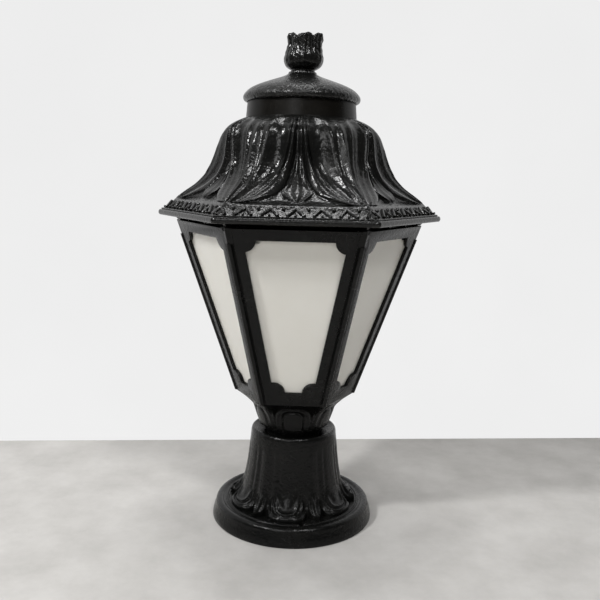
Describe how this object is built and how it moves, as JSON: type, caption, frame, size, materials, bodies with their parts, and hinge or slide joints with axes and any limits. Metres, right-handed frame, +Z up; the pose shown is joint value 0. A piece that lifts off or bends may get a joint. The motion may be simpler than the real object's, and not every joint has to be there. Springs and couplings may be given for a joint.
{
  "type": "garden lantern",
  "caption": "Six-sided black pedestal lantern with opal panes, a leaf-moulded roof that lifts off, a round vent collar, a domed cap and a tulip finial over an E27 lamp.",
  "frame": {"origin": "Middle of the ground face of the foot, on the axis of the lantern.", "axes": "+Z up along the axis. A corner of the cage and of the brim points along +X, and a flat side of the cage faces -Y, the side that the picture shows. Units are metres."},
  "size_m": [0.22, 0.1906, 0.3805],
  "materials": {
    "black_resin": "black moulded resin with a fine pebble grain",
    "collar_resin": "smooth satin black resin",
    "opal_resin": "milky opal, matt",
    "seal_rubber": "matt black",
    "plated_steel": "zinc plated",
    "contact_brass": "bright pressed brass",
    "white_ceramic": "white glaze",
    "holder_black": "black moulding",
    "lamp_opal": "opal bulb",
    "lead_brown": "brown insulation",
    "lead_blue": "blue insulation"
  },
  "bodies": {
    "base": {"pedestal": "black_resin", "stem_tube": "plated_steel", "lower_washer": "plated_steel", "lower_nut": "plated_steel", "upper_washer": "plated_steel", "upper_nut": "plated_steel", "cage": "black_resin", "diffuser": "opal_resin", "top_ring": "black_resin", "ring_screws": "plated_steel", "holder_base": "white_ceramic", "holder_sleeve": "holder_black", "holder_shell": "contact_brass", "centre_contact": "contact_brass", "lamp": "lamp_opal", "terminal_block": "white_ceramic", "block_screw": "plated_steel", "live_lead": "lead_brown", "neutral_lead": "lead_blue"},
    "roof": {"roof_seal": "seal_rubber", "roof": "black_resin", "chimney_collar": "collar_resin", "cap_seal": "seal_rubber", "cap": "black_resin", "finial_stud": "plated_steel", "finial_nut": "plated_steel"},
    "finial_washer": {"finial_washer": "seal_rubber"},
    "finial": {"finial": "black_resin"}
  },
  "joints": [
    {"name": "roof_lift", "type": "slide", "parent": "base", "child": "roof", "axis": [0, 0, 1], "range_m": [0, 0.15]},
    {"name": "finial_rise", "type": "slide", "parent": "roof", "child": "finial_washer", "axis": [0, 0, 1], "range_m": [0, 0.004]},
    {"name": "finial_turn", "type": "hinge", "parent": "finial_washer", "child": "finial", "pos_m": [0, 0, 0.36], "axis": [0, 0, 1], "range_deg": [0, 1440]}
  ],
  "couplings": [
    {"joint": "finial_rise", "follows": "finial_turn", "m_per_rad": 0.00015915}
  ]
}
